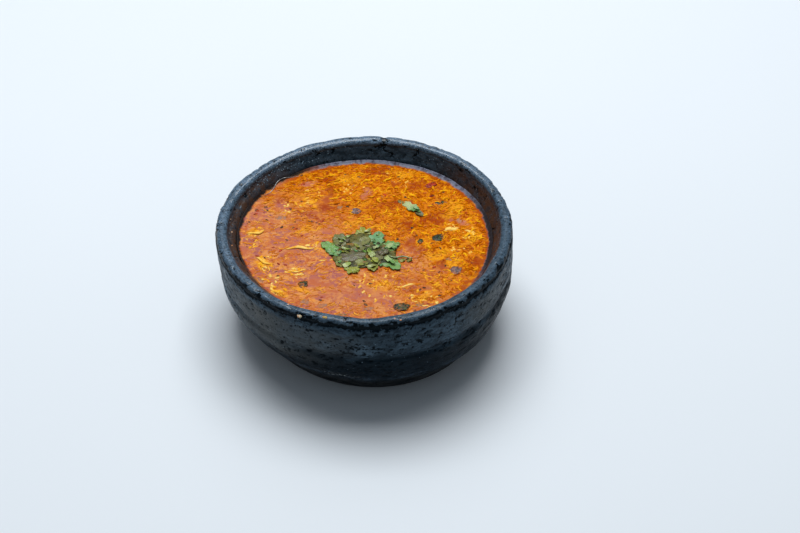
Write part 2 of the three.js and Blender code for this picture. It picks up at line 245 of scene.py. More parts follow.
class Finish:
    """A node material with one principled shader, whose constants are set on its sockets."""

    def __init__(self, name, **constants):
        self.material = bpy.data.materials.new(name)
        self.material.use_nodes = True
        self.tree = self.material.node_tree
        self.shader = self.tree.nodes["Principled BSDF"]
        for socket, value in constants.items():
            self.shader.inputs[socket.replace("_", " ")].default_value = value

    def put(self, value, socket):
        """Links a socket to another or gives it a constant."""
        if isinstance(value, bpy.types.NodeSocket):
            self.tree.links.new(value, socket)
        elif isinstance(value, tuple) and socket.type == "RGBA":
            socket.default_value = (*value, 1)
        else:
            socket.default_value = value

    def add(self, kind, inputs=None, **settings):
        node = self.tree.nodes.new("ShaderNode" + kind)
        for setting, value in settings.items():
            setattr(node, setting, value)
        for socket, value in (inputs or {}).items():
            self.put(value, node.inputs[socket])
        return node

    def place(self, stretch=(1, 1, 1)):
        """Position on the piece in millimetres, shrunk along each axis by the stretch."""
        place = self.add("TexCoord").outputs["Object"]
        scale = [1 / (MM * share) for share in stretch]
        return self.add("Mapping", {"Vector": place, "Scale": scale}).outputs[0]

    def noise(self, size, detail=3, roughness=0.55, stretch=(1, 1, 1), distortion=0):
        """Noise from 0 to 1 with features of that size in millimetres."""
        return self.add("TexNoise", {
            "Vector": self.place(stretch), "Scale": 1 / size, "Detail": detail,
            "Roughness": roughness, "Distortion": distortion,
        }).outputs["Fac"]

    def height(self):
        """Height over the ground in millimetres."""
        return self.add("SeparateXYZ", {"Vector": self.place()}).outputs["Z"]

    def attribute(self, name):
        return self.add("Attribute", attribute_name=name).outputs["Fac"]

    def math(self, operation, a, b):
        return self.add("Math", {0: a, 1: b}, operation=operation).outputs[0]

    def plus(self, a, b):
        return self.math("ADD", a, b)

    def times(self, a, b):
        return self.math("MULTIPLY", a, b)

    def ease(self, value, low, high, start=0.0, end=1.0):
        """Goes smoothly from start to end as the value goes from low to high."""
        return self.add(
            "MapRange",
            {"Value": value, 1: low, 2: high, 3: start, 4: end},
            interpolation_type="SMOOTHSTEP",
        ).outputs[0]

    def mottle(self, grain, low, high, start=0.0, end=1.0):
        """Eases a noise, given as what noise takes."""
        return self.ease(self.noise(*grain), low, high, start, end)

    def blend(self, share, a, b):
        """Mix of two colours, each a socket or a linear RGB triple."""
        return self.add("Mix", {0: share, 6: a, 7: b}, data_type="RGBA").outputs[2]

    def row(self, colours):
        """Colour by the hue attribute: its place from 0 to 1 in a row of colours."""
        ramp = self.add("ValToRGB", {"Fac": self.attribute("hue")})
        stops = ramp.color_ramp.elements
        stops[1].position = 1
        for k in range(1, len(colours) - 1):
            stops.new(k / (len(colours) - 1))
        for stop, colour in zip(stops, colours):
            stop.color = (*colour, 1)
        return ramp.outputs[0]

    def set(self, socket, value):
        self.tree.links.new(value, self.shader.inputs[socket])

    def paint(self, colour, *coats):
        """A base colour with coats over it, each a colour behind the shares it has.

        They are multiplied, and each is a socket, a number or the name of an attribute."""
        for *shares, coat in coats:
            sockets = [self.attribute(share) if isinstance(share, str) else share for share in shares]
            colour = self.blend(functools.reduce(self.times, sockets), colour, coat)
        self.set("Base Color", colour)

    def gloss(self, grain, low, high):
        """Roughness that varies between two values."""
        self.set("Roughness", self.mottle(grain, 0.3, 0.7, low, high))

    def bump(self, height, depth):
        """Relief so many millimetres deep, of a socket or of what noise takes."""
        if isinstance(height, tuple):
            height = self.noise(*height)
        node = self.add("Bump", {"Height": height, "Distance": depth * MM})
        self.set("Normal", node.outputs[0])


def two_toned(name, grain, edges, colours, gloss, relief, depth, **constants):
    """A finish of two mottled colours."""
    finish = Finish(name, **constants)
    finish.paint(colours[0], (finish.mottle(grain, *edges), colours[1]))
    finish.gloss((1, 2), *gloss)
    finish.bump(relief, depth)
    return finish.material


# ---------- bowl ----------

def hand_made(points):
    """Moves points of the perfectly round bowl to their places in the uneven one."""
    x, y, z = np.moveaxis(points, -1, 0)
    angle = np.arctan2(y, x)
    wobble = OVAL * np.cos(2 * angle + 1.33) + TRIANGULAR * np.cos(3 * angle - 2.37)
    outside = ease(np.hypot(x, y), RIM_RADIUS - RIM_THICKNESS, RIM_RADIUS - 2)
    lip = ease(z, STEW_EDGE_HEIGHT + 1, RIM_HEIGHT)
    lean = LEAN * (1 - z / RIM_HEIGHT)
    tilt = TILT * np.cos(angle) * np.maximum(outside, lip)
    wave = RIM_WAVE * np.cos(2 * angle) * lip
    stretch = 1 + wobble / RIM_RADIUS
    return stacked(x * stretch + lean, y * stretch, z + tilt - wave)


def hollow_below_stew(steps):
    edge = (STEW_EDGE_RADIUS, STEW_EDGE_HEIGHT)
    floor = [(38, FLOOR_HEIGHT + 1), (22, FLOOR_HEIGHT)]
    return curve_through([edge, (66.5, 45), (61.5, 31), (53, 18), *floor], steps)


def bowl_outline():
    """Radius and height of the bowl's skin, from the middle of the base to the floor inside."""
    edge_start = (BASE_RADIUS - BASE_ROUNDING, 0)
    edge_end = (BASE_RADIUS, BASE_ROUNDING * 0.6)
    ridge = (RIDGE_RADIUS, RIDGE_HEIGHT)
    wall = [
        ridge, (78.3, 29.5), (79.1, 34.5), (79.3 - GROOVE_DEPTH, GROOVE_HEIGHT),
        (79.5, 41.5), (79.9, 50), (80, 55), (RIM_RADIUS, RIM_HEIGHT),
    ]
    turn = np.linspace(0, math.pi, 28)
    rim = np.stack([
        RIM_RADIUS - RIM_THICKNESS / 2 * (1 - np.cos(turn)),
        RIM_HEIGHT + CREST_RISE * np.sin(turn),
    ], -1)
    inside = [(RIM_RADIUS - RIM_THICKNESS, RIM_HEIGHT), (71.4, 57.5), (STEW_EDGE_RADIUS, STEW_EDGE_HEIGHT)]
    sections = [
        curve_through([(6, 0), (30, 0), edge_start], 3),
        curve_through([edge_start, (BASE_RADIUS - 1, 0.5), edge_end], 2),
        curve_through([edge_end, (67, 9.5), (72.8, 17), ridge], 11),
        curve_through(wall, 10),
        rim,
        curve_through(inside, 9),
        hollow_below_stew(2),
    ]
    return np.vstack([sections[0], *(section[1:] for section in sections[1:]), [(6, FLOOR_HEIGHT)]])


def dust_share(angle, z):
    share = np.zeros_like(z)
    for middle, reach, bottom, strength in DUST_PATCHES:
        share = np.maximum(share, strength * bell(angle, middle, reach) * ease(z, bottom, bottom + 10))
    return share * (1 - ease(z, 53, 57))


def shaded_band_share(grid, radius, around):
    """Share of the black band along the rim, painted shade where the rim turns down, with pits and frayed
    edges.
    """
    z = grid[..., 2]
    height = SHADED_BAND_HEIGHT + 0.6 * noise(stacked(around * 3, 0, 0), 7)
    frayed = 1.6 + 1.2 * noise(grid / [1.8, 1.8, 1.3], 8)
    return ease(frayed - np.abs(z - height), -0.2, 0.4) * ease(radius, 77.2, 78.6)


def crest_share(radius, z, angle):
    """Share of the painted highlight, the lit band along the top of the rim: most at the back left, stronger
    round the back, and narrower at the front.
    """
    crest = ease(z, 60.2, 61.4) * ease(radius, 72.8, 75) * (0.68 + 0.32 * np.cos(angle - BACK_LEFT_ANGLE))
    crest *= 1 + 0.9 * bell(angle, NICK_ANGLE, 0.8)
    return crest * (1 - 0.8 * ease(radius, 77.8, 79.2) * ease(-np.sin(angle), -0.2, 0.6))


def plate_share(grid, angle, marks, outer):
    """Share of the grey-blue skin on the soot: above the groove, and lower down at the left."""
    z = grid[..., 2]
    left = ease(-np.cos(angle), 0.3, 0.95)
    upper = ease(z + 4 * marks, mix(34, 20, left), mix(44, 30, left))
    plates = outer * (0.06 + 0.94 * upper) * mix(0.62, 0.88, left) * (0.85 + 0.5 * noise(grid / 11, 9))
    return np.maximum(plates, 0.42 * ease(z, 53, 56))


def clay_relief(grid, angle):
    """Heights of the clay's relief along the normal, and the shares of its colours."""
    radius = np.hypot(grid[..., 0], grid[..., 1])
    z = grid[..., 2]
    outer = ease(radius, 70, 74) * (1 - ease(z, 56, 60))
    rim = ease(z, 57.5, 60.5)
    around = angle / TURN * LATTICE
    lumps = 0.36 * noise(grid / 17, 1) + 0.24 * noise(grid / 7.5, 2)
    grain = mix(0.09, 0.13, rim) * noise(grid / 3.1, 3)
    pits = ease(noise(grid / [2.4, 2.4, 1.7], 4), 0.44, 0.7)
    marks = noise(stacked(around * 2, z / 4.5, radius / 9), 5)
    scars = ease(noise(stacked(around * 5, z / 1.3, radius / 5), 6), 0.46, 0.66)
    shaded_band = shaded_band_share(grid, radius, around)
    patch = dust_share(angle, z)
    nick = bell(angle, NICK_ANGLE, NICK_WIDTH / RIM_RADIUS) * rim
    relief = lumps * (1 + 0.4 * rim) + grain - pits * mix(0.2, 0.34, rim)
    relief += outer * (1 - 0.7 * patch) * (0.16 * marks - 0.36 * scars)
    relief -= SHADED_BAND_DEPTH * shaded_band + NICK_DEPTH * nick
    inner = ease(-radius, -76, -74.6) * ease(z, 55, 57) * mix(0.35, 1, bell(angle, BACK_LEFT_ANGLE, 0.45))
    crest = crest_share(radius, z, angle)
    # Painted highlight: a broken lit line just under the ridge.
    ridge_highlight = 0.3 * bell(z, RIDGE_HIGHLIGHT_HEIGHT, 1.8) * ease(marks, -0.5, 0.3) * outer
    # Painted shade darkens the underside below 18 mm; a weaker darker band lies at 29 mm.
    low = 1 - ease(z, 12, 18) + 0.2 * bell(z, 29, 4.5) * (1 - patch)
    sides = ease(np.abs(np.cos(angle)), 0.45, 0.9)
    return relief * ease(z, 4, 10), {
        # dark: pits, cracks and the nick, with painted shade in the band under the rim's edge and on the
        # underside
        "dark": np.clip(shaded_band + 0.6 * pits + 0.8 * scars * outer * (1 - patch) + nick + 0.9 * low, 0, 1),
        # painted highlight: the lit band on the rim's top, a faint one over the whole rim, and a lit line
        # under the ridge
        "painted_highlight": np.clip(crest * (0.9 + 0.7 * (lumps + grain)) + 0.1 * rim + ridge_highlight, 0, 1.4),
        "dust": np.clip(outer * patch * (0.9 + 0.6 * lumps), 0, 1),
        "plates": np.clip(plate_share(grid, angle, marks, outer), 0, 1),
        # Painted reflection of the stew: a brown tint on the inner wall at the left and right.
        "stew_reflection": ease(-radius, -74, -72) * ease(z, 50, 52) * sides,
        # Pale specks inside at the back left, and painted glints on the lit top of the rim.
        "specks_and_glints": np.clip(inner + 0.5 * crest, 0, 1),
        "scrape": bell(angle, SCRAPE_ANGLE, 0.12) * bell(z, SCRAPE_HEIGHT, 1.6) * outer,
    }


def black_clay():
    clay = Finish(
        "black_clay", Specular_IOR_Level=0.06, Specular_Tint=(0.30, 0.70, 1.0, 1),
        Coat_Roughness=0.09, Coat_IOR=1.5,
    )
    whole = clay.mottle((2.6, 5, 0.7, (2, 2, 1), 0.8), 0.39, 0.59, 0.32, 1)
    fine = clay.mottle((1.4, 4, 0.7, (1, 1, 1), 0.8), 0.40, 0.58, 0.12, 1.1)
    broad = clay.mottle((8, 3), 0.34, 0.6, 0.6, 1)
    ragged = clay.plus(clay.attribute("dark"), clay.mottle((1.3, 3, 0.6), 0.3, 0.7, -0.5, 0.5))
    black_and_shaded = clay.ease(ragged, 0.25, 0.65)
    speck_and_glint_noise = clay.plus(clay.noise(0.8, 1), clay.times(clay.attribute("specks_and_glints"), 0.10))
    clay.paint(
        (0.0008, 0.0035, 0.0070),  # soot in two shades
        (clay.mottle((30, 4, 0.6), 0.42, 0.62), (0.003, 0.008, 0.013)),
        ("plates", whole, (0.092, 0.150, 0.205)),
        ("dust", (0.086, 0.088, 0.083)),
        # painted highlight on the rim's top and under the ridge
        ("painted_highlight", fine, broad, (0.120, 0.182, 0.260)),
        (clay.mottle((1.3, 3, 0.6), 0.58, 0.72, 0, 0.25), (0.030, 0.044, 0.055)),
        # painted reflection of the stew on the inner wall
        ("stew_reflection", clay.mottle((4, 4, 0.65), 0.35, 0.6, 0.3, 0.9), (0.070, 0.034, 0.018)),
        # near black where dark: pits and cracks, and painted shade under the rim's edge and on the underside
        (black_and_shaded, (0.0010, 0.0022, 0.0034)),
        ("scrape", clay.mottle((1.1, 3, 0.7), 0.55, 0.62), (0.34, 0.36, 0.36)),
        # pale blue specks, most inside at the back left, and painted glints on the rim's top
        (clay.ease(speck_and_glint_noise, 0.745, 0.79), (0.22, 0.32, 0.40)),
    )
    clay.gloss((5, 4), 0.3, 0.5)
    glaze = clay.times(clay.attribute("painted_highlight"), 0.4)
    clay.set("Coat Weight", clay.plus(glaze, clay.ease(black_and_shaded, 0, 1, 0.07, 0.0)))
    clay.bump(clay.plus(clay.noise(0.9, 4, 0.65), clay.noise(2.4, 2)), 0.26)
    return clay.material


def make_bowl():
    outline = bowl_outline()
    angle = np.linspace(-math.pi, math.pi, BOWL_SEGMENTS, endpoint=False) + math.pi / 2
    radius, height = outline[:, :1], outline[:, 1:]
    grid = stacked(radius * np.cos(angle), radius * np.sin(angle), height)
    moved = hand_made(grid)
    relief, shares = clay_relief(grid, np.arctan2(grid[..., 1], grid[..., 0]))
    moved += grid_normals(moved) * relief[..., None]
    vertices, faces, _ = closed_grid(moved + RIM_CENTRE)
    attributes = {key: [*values.ravel(), 0, 0] for key, values in shares.items()}
    bowl = piece("clay_bowl", (vertices, faces, attributes), black_clay())
    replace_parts(bowl, "bowl")


# ---------- stew ----------

# Patches of colour in the sauce: x, y, half length, half width and heading.
GOLDEN_OIL = [
    (48, 28, 7, 5, 1.4), (46, 20, 4, 3, 0.3), (48, -20, 6, 4, 0.5), (38, -14, 7, 4.5, 0.5),
    (57, 2, 6, 4, 1.2), (-61, 5, 5, 3.5, 0.2), (-54, -20, 6, 4, -0.7), (-46, -43, 6, 3, -0.8),
    (-33, 8, 6, 3.5, 0.6), (-30, 30, 8, 4, -0.7), (-12, 51, 9, 4, 0.2), (22, 56, 7, 3.5, -0.3),
    (-7, 14, 6, 3, 0.4), (32, -46, 7, 3, 0.6), (8, -39, 8, 5, 0.2), (-32, -42, 5, 3, -0.4),
]
DARK_OIL = [
    (36, 16, 8, 6, 0.2), (24, 12, 7, 4, -0.2), (44, 21, 3, 2.5, 0), (28, 45, 6, 4, 0.3),
    (6, 60, 8, 3, 0), (-20, 27, 9, 3, 0.1), (-38, 24, 8, 1.8, -0.5), (-28, 18, 8, 1.8, -0.5),
    (-48, 33, 6, 2, 0.3), (58, -19, 3, 3, 0.5), (31, -9, 5, 2.5, 0.4), (14, 30, 8, 4, 0.1),
    (-22, 50, 7, 2.5, 0.2),
]
# Pale pink patches, mostly at the front left: a creamy film on the sauce, with painted sheen for the light's
# soft reflection on it.
MILKY_FILM_AND_SHEEN = [
    (0, 38, 4, 5, 0.4), (-4, -46, 22, 8, 0), (-24, -36, 10, 6, 0.2), (-52, 16, 9, 4, 0.4),
    (-43, -6, 10, 7, 0), (-31, 47, 6, 3, 0.3), (52, 14, 3, 4, 1.2), (-20, 6, 7, 4, 0.3),
    (-63, -10, 4, 8, 0), (-60, 22, 6, 4, 1.0),
]
FRONT_FILM = MILKY_FILM_AND_SHEEN[1:3]
CLEAR_SAUCE = [(22, -17, 15, 11, -0.3)]


def patches(rows, x, y, seed):
    """Share of the patches at a place, with frayed edges."""
    shifted = x + 3.4 * waves(x, y, 4.5, seed) + 1.6 * waves(x, y, 1.7, seed + 1)
    raised = y + 2.6 * waves(x, y, 4, seed + 2) + 1.2 * waves(x, y, 1.5, seed + 3)
    share = np.zeros_like(x)
    for left, front, length, width, heading in rows:
        along, aside = headed(0, 0, -heading, shifted - left, raised - front)
        share = np.maximum(share, 1 - ease(np.hypot(along / length, aside / width), 0.5, 1.2))
    return share


def golden_share(x, y):
    return patches(GOLDEN_OIL, x, y, 28)


def deep_share(x, y):
    return patches(DARK_OIL, x, y, 34)


def milky_share(x, y, rows=MILKY_FILM_AND_SHEEN):
    return patches(rows, x, y, 24)


def meat_share(x, y):
    """From 0 where smooth sauce covers the meat, at the front left, to 1 where meat shows."""
    across = (0.73 * x + 0.68 * y) / 20 + 0.8 * waves(x, y, 13, 20)
    clumps = ease(waves(x, y, 9, 21), 0.25, 0.7) * ease(np.hypot(x, y), 40, 56)
    bare = np.clip(ease(across, -1.6, 1.2) + 0.5 * clumps, 0, 1)
    bare *= (1 - 0.85 * milky_share(x, y)) * (1 - 0.7 * patches(CLEAR_SAUCE, x, y, 36))
    return np.maximum(bare, 0.5 * golden_share(x, y))


def stew_level(x, y):
    """Height of the sauce without the meat in it."""
    radius = np.hypot(x, y)
    swell = 0.35 * waves(x, y, 16, 22) * mix(0.35, 1, meat_share(x, y))
    open_share = 1 - ease(radius, CLIMB_RADIUS - 8, CLIMB_RADIUS - 1)
    clear = ease(heap_distance(x, y), 1, 1.4)
    wall = np.clip((radius - CLIMB_RADIUS) / (STEW_EDGE_RADIUS - CLIMB_RADIUS), 0, 1)
    return STEW_LEVEL + swell * open_share * clear + (STEW_EDGE_HEIGHT - STEW_LEVEL) * wall**2.2


def heap_distance(x, y):
    """Distance from the middle of the heap, 1 at its core's edge."""
    return np.hypot((x - HEAP[0]) / (HEAP_WIDTH / 2), (y - HEAP[1]) / (HEAP_DEPTH / 2))


# Shreds that stand out by themselves, close to those of the part: x, y, heading, length, width, turn.
NOTABLE_SHREDS = [
    (-34.8, -7.5, 0.03, 17, 2.3, 0.2), (57.8, 2.5, 1.2, 14.5, 2.4, 4.4), (46.5, 8, 0.2, 9.5, 3.6, 0.7),
    (-59, 5, 0.3, 11, 2.2, 0.8), (-54, -19, -0.6, 12, 2.2, 0.6), (-46.5, -43, -0.8, 11, 2.0, 0.4),
    (-36, -26.5, 0.1, 11, 1.8, 0.5), (21.5, -38.5, 0.2, 13, 1.6, 0.5),
]
# Pale clumps of short shreds: x, y, radius, heading, spread of the headings, count.
PALE_CLUMPS = [
    (-60, 6, 4.5, 0.3, 0.6, 12), (-53, -20, 6.5, -0.7, 0.6, 18), (-46, -43, 6, -0.8, 0.5, 16),
    (-36, -27, 5, 0.1, 0.5, 10), (-27, -5, 4, 0.6, 0.6, 8), (45.5, 8, 4.5, 0.2, 0.7, 14),
    (58, 4, 5.5, 1.3, 0.7, 14), (-62, -4, 5, 0.9, 0.9, 10), (-50, -32, 5, -0.3, 0.9, 10),
    (-20, -16, 6, 0.2, 0.9, 8), (-6, 43, 7, 0.6, 1.3, 18), (-40, 27, 7, -0.5, 0.8, 16),
    (-30, 36, 7, 0.2, 0.8, 14), (8, -39, 12, 1.5, 0.35, 26), (34, -48, 9, 0.5, 0.8, 18),
    (50, -12, 7, 0.9, 1.2, 12), (20, 54, 9, 0.1, 1.2, 16),
]
# Pale line of fat where the sauce meets the wall at the back left, partly a painted highlight along the
# sauce's curved edge: x, y, heading, length, width, turn.
GREASE_AND_HIGHLIGHT_LINE = (-49.2, 46.9, 3.95, 29, 0.4, 0.43)
FINE_COUNT = 2900
SUNK_COUNT = 900
LARGE_COUNT = 420


class Strands:
    """Strands of meat or stalk along arcs, each a row of stations."""

    def __init__(self, rows, seed, stations=8):
        rng = np.random.default_rng(seed)
        x, y, heading, length, width, turn = (column[:, None] for column in np.array(rows).T)
        t = np.linspace(-0.5, 0.5, stations)[None, :]
        bow = length / turn
        wiggle = 0.05 * length * np.sin(TURN * (1.3 * t + rng.random((len(rows), 1))))
        ahead = bow * np.sin(turn * t)
        aside = bow * (1 - np.cos(turn * t)) + wiggle
        self.x, self.y = headed(x, y, heading, ahead, aside)
        self.facing = heading + turn * t
        self.t = t
        swell = 1 + 0.16 * rng.normal(size=self.x.shape)
        self.half = width / 2 * swell * np.sqrt(np.clip(1.03 - 4 * t * t, 0.03, 1))
        self.rise = rng.uniform(0.15, 0.75, (len(rows), 1)) * (1 - 2.6 * t * t)
        self.tone = np.clip(rng.normal(0.5, 0.25, (len(rows), 1)), 0, 1) + 0 * t

    def mesh(self, level, sides=6, flatness=0.72):
        angle = TURN * np.arange(sides) / sides
        across = self.half[..., None] * np.cos(angle)
        thick = self.half * flatness
        middle = level + thick * (2 * self.rise - 1)
        rings = stacked(
            self.x[..., None] - across * np.sin(self.facing)[..., None],
            self.y[..., None] + across * np.cos(self.facing)[..., None],
            middle[..., None] + thick[..., None] * np.sin(angle),
        )
        strands, stations = self.x.shape
        quads = grid_faces(stations, sides)[:, ::-1]
        ends = np.array([np.arange(sides), (stations - 1) * sides + np.arange(sides)[::-1]])
        shift = (np.arange(strands) * stations * sides)[:, None, None]
        faces = [*(quads + shift).reshape(-1, 4).tolist(), *(ends + shift).reshape(-1, sides).tolist()]
        tone = np.repeat(self.tone[..., None], sides, 2)
        brink = np.maximum(np.abs(np.cos(angle)) ** 3, ease(np.abs(self.t), 0.3, 0.5)[..., None])
        brink = np.broadcast_to(brink, tone.shape)
        return rings.reshape(-1, 3) + RIM_CENTRE, faces, {"tone": tone.ravel(), "brink": brink.ravel()}


def scatter(count, rng, weight, reach):
    """Random places on the stew, more of them where the weight is near 1."""
    places = np.empty((0, 2))
    while len(places) < count:
        tries = rng.uniform(-reach, reach, (4 * count, 2))
        x, y = tries.T
        keep = (np.hypot(x, y) < reach) & (heap_distance(x, y) > 1.15)
        keep &= rng.random(len(tries)) < weight(x, y)
        places = np.vstack([places, tries[keep]])
    return places[:count].T


def fibres(count, seed, length, width, weight, bend):
    """Rows for Strands: more along X at the left and every way at the right."""
    rng = np.random.default_rng(seed)
    x, y = scatter(count, rng, weight, SHRED_REACH - length[1] / 2)
    freedom = mix(0.8, 1.5, ease(x, -35, 35))
    heading = rng.uniform(-1, 1, count) * freedom + 0.5 * waves(x, y, 22, seed)
    turn = rng.uniform(0.3, bend, count) * rng.choice([-1, 1], count)
    return np.stack([x, y, heading, rng.uniform(*length, count), rng.uniform(*width, count), turn], -1)


RASTER_REACH = 73
RASTER_STEP = 0.3


def raster_place(x, y):
    return (x + RASTER_REACH) / RASTER_STEP, (y + RASTER_REACH) / RASTER_STEP


def stamp(strands, widening):
    """Raster of ridges under strands: 1 on their line, falling to 0 aside of it."""
    side = int(2 * RASTER_REACH / RASTER_STEP) + 1
    raster = np.zeros((side, side))
    stations = strands.x.shape[1]
    fine = np.linspace(0, stations - 1, 4 * stations)
    low = np.floor(fine).astype(int)
    high = np.minimum(low + 1, stations - 1)

    def along(values):
        return mix(values[:, low], values[:, high], fine - low).ravel()

    reach = along(strands.half) * widening / RASTER_STEP + 1
    column, row = raster_place(along(strands.x), along(strands.y))
    span = int(np.ceil(reach.max()))
    for right, back in itertools.product(range(-span, span + 1), repeat=2):
        i = np.round(column).astype(int) + right
        j = np.round(row).astype(int) + back
        apart = ((i - column) ** 2 + (j - row) ** 2) / reach**2
        near = apart < 1
        np.maximum.at(raster, (i[near], j[near]), 1 - apart[near])
    return raster


def look_up(raster, x, y):
    column, row = raster_place(x, y)
    i, j = np.floor(column).astype(int), np.floor(row).astype(int)
    near = mix(raster[i, j], raster[i + 1, j], column - i)
    far = mix(raster[i, j + 1], raster[i + 1, j + 1], column - i)
    return mix(near, far, row - j)


def even_disc(cells):
    """Grid of a square bent into a disc of radius 1 with cells of equal area."""
    side = np.linspace(-1, 1, cells + 1)
    u, v = np.meshgrid(side, side, indexing="ij")
    wide = np.abs(u) >= np.abs(v)
    radius = np.where(wide, u, v)
    share = np.where(wide, v, u) / np.where(radius == 0, 1, radius)
    angle = np.where(wide, share * math.pi / 4, (2 - share) * math.pi / 4)
    return radius * np.cos(angle), radius * np.sin(angle)


def edge_shares(x, y, radius, turned):
    """Shares of the grey ring, a painted reflection of the light on the sauce climbing the wall at the back,
    and of the dark wet edge, by degrees from the front.
    """
    ragged = radius + 0.8 * waves(x, y, 3.5, 32) + 0.5 * waves(x, y, 1.2, 33)
    right = ease(turned, 45, 75)
    back = 1 - ease(turned, 198, 214)
    ring = ease(ragged, 66.4, 67.2) * right
    shore = ease(ragged, 67.0, 67.9) * (1 - back) * (1 - ease(turned, 285, 320))
    return ring * back, shore + 0.95 * ring * (1 - ease(turned, 105, 135))


def stew_surface(u, v, mat, sunken):
    """The stew's upper side over a unit disc, and the shares of its colours."""
    top = hand_made(stacked(u, v, STEW_LEVEL / STEW_EDGE_RADIUS) * STEW_EDGE_RADIUS)
    x, y = top[..., 0], top[..., 1]
    radius = np.hypot(u, v) * STEW_EDGE_RADIUS
    relief = look_up(mat, x, y)
    meat = meat_share(x, y)
    grain = waves(x, y, 1.7, 30) + 0.6 * waves(x, y, 0.9, 31)
    clear = ease(heap_distance(x, y), 0.95, 1.2)
    inside = 1 - ease(radius, CLIMB_RADIUS - 1, CLIMB_RADIUS + 1)
    ridges = (0.3 * relief * mix(0.04, 1, meat) + 0.06 * grain * mix(0.1, 1, meat)) * clear
    top[..., 2] = stew_level(u * STEW_EDGE_RADIUS, v * STEW_EDGE_RADIUS) + ridges * inside
    edge, shore = edge_shares(x, y, radius, np.degrees(np.arctan2(v, u) + math.pi / 2) % 360)
    return top, {
        "meat": meat,
        "tone": np.maximum(relief, 0.7 * look_up(sunken, x, y)),
        "edge": edge,
        "shore": shore,
        "golden": golden_share(x, y),
        "deep": deep_share(x, y),
        "milky": milky_share(x, y),
    }


def stew_mesh(mat, sunken):
    """The whole stew: its surface in fine cells, its side and its underside."""
    u, v = even_disc(STEW_CELLS)
    top, shares = stew_surface(u, v, mat, sunken)
    index = np.arange(u.size).reshape(u.shape)
    quads = np.stack([index[:-1, :-1], index[1:, :-1], index[1:, 1:], index[:-1, 1:]], -1)
    border = np.concatenate([index[:-1, 0], index[-1, :-1], index[:0:-1, -1], index[0, :0:-1]])
    angle = np.arctan2(v.ravel()[border], u.ravel()[border])
    rings = []
    for radius, height in hollow_below_stew(1)[1:]:
        reach = radius - 0.3
        rings.append(hand_made(stacked(reach * np.cos(angle), reach * np.sin(angle), height + 0.3)))
    vertices = np.vstack([top.reshape(-1, 3), *rings, [rings[-1].mean(0)]])
    loops = [border] + [u.size + k * len(border) + np.arange(len(border)) for k in range(len(rings))]
    faces = quads.reshape(-1, 4).tolist()
    for above, below in itertools.pairwise(loops):
        faces += np.stack([above, below, np.roll(below, -1), np.roll(above, -1)], -1).tolist()
    last = loops[-1]
    faces += [[len(vertices) - 1, *pair] for pair in zip(np.roll(last, -1).tolist(), last.tolist())]
    hidden = np.zeros(len(vertices) - u.size)
    attributes = {key: np.append(values.ravel(), hidden) for key, values in shares.items()}
    return vertices + RIM_CENTRE, faces, attributes


def stew_finish():
    stew = Finish(
        "stew_sauce", Specular_IOR_Level=0.06, Specular_Tint=(1.0, 0.76, 0.35, 1),
        Coat_Roughness=0.14, Coat_IOR=1.4,
    )
    meat = stew.attribute("meat")
    smooth = stew.math("SUBTRACT", 1.0, meat)
    calm = stew.ease(stew.attribute("milky"), 0, 1, 1, 0.15)
    tone = stew.plus(stew.attribute("tone"), stew.mottle((1.5, 3), 0.3, 0.7, -0.3, 0.3))
    gaps = stew.blend(meat, (0.52, 0.108, 0.010), (0.41, 0.071, 0.0001))
    high = stew.blend(meat, (0.60, 0.16, 0.02), (0.70, 0.19, 0.001))
    streak = stew.noise(5, 5, 0.7, (1.4, 1, 1), 1)
    film = stew.ease(streak, 0.47, 0.55, 1, 0)
    # pink-violet streaks on the smooth sauce: creamy film with painted sheen
    mauve = stew.blend(stew.mottle((7, 4, 0.65), 0.45, 0.55), (0.70, 0.255, 0.062), (0.40, 0.100, 0.080))
    bright = stew.mottle((2.8, 4, 0.7, (1.3, 1, 1), 1), 0.55, 0.64)
    gold = stew.mottle((2.2, 4, 0.7), 0.36, 0.56, 0.3, 1)
    uneven = stew.mottle((3, 5, 0.7, (1, 1, 1), 1), 0.36, 0.56, 0.15, 0.95)
    marks = stew.mottle((1.6, 4, 0.7), 0.585, 0.655, 0, 0.9)
    # Painted reflection of the light on the sauce climbing the wall, grey-blue round the back.
    ring = stew.blend(stew.mottle((3, 4, 0.7), 0.38, 0.58), (0.065, 0.058, 0.085), (0.20, 0.215, 0.29))
    stew.paint(
        stew.blend(stew.ease(tone, 0.05, 0.95), gaps, high),
        (meat, stew.mottle((9, 2), 0.54, 0.66, 0, 0.7), (0.80, 0.28, 0.001)),
        (meat, stew.mottle((7, 5, 0.7, (1, 1, 1), 1), 0.52, 0.62, 0, 0.8), (0.30, 0.040, 0.0001)),
        (smooth, film, mauve),
        (calm, smooth, bright, (0.80, 0.28, 0.025)),
        ("golden", gold, (0.86, 0.33, 0.006)),
        ("deep", uneven, (0.34, 0.040, 0.0002)),
        # pale pink: creamy film with painted sheen
        ("milky", stew.mottle((5, 4, 0.65), 0.36, 0.6, 0.1, 0.65), (0.50, 0.122, 0.056)),
        (calm, stew.ease(streak, 0.6, 0.67, 0, 0.85), (0.42, 0.050, 0.002)),
        (calm, smooth, marks, (0.26, 0.030, 0.004)),
        # painted reflection on the climbing sauce
        ("edge", ring),
        ("shore", (0.018, 0.012, 0.012)),
    )
    stew.gloss((2.5, 3), 0.15, 0.3)
    stew.set("Coat Weight", stew.ease(meat, 0, 1, 0.42, 0.0))
    stew.bump((0.8, 3, 0.6), 0.04)
    return stew.material


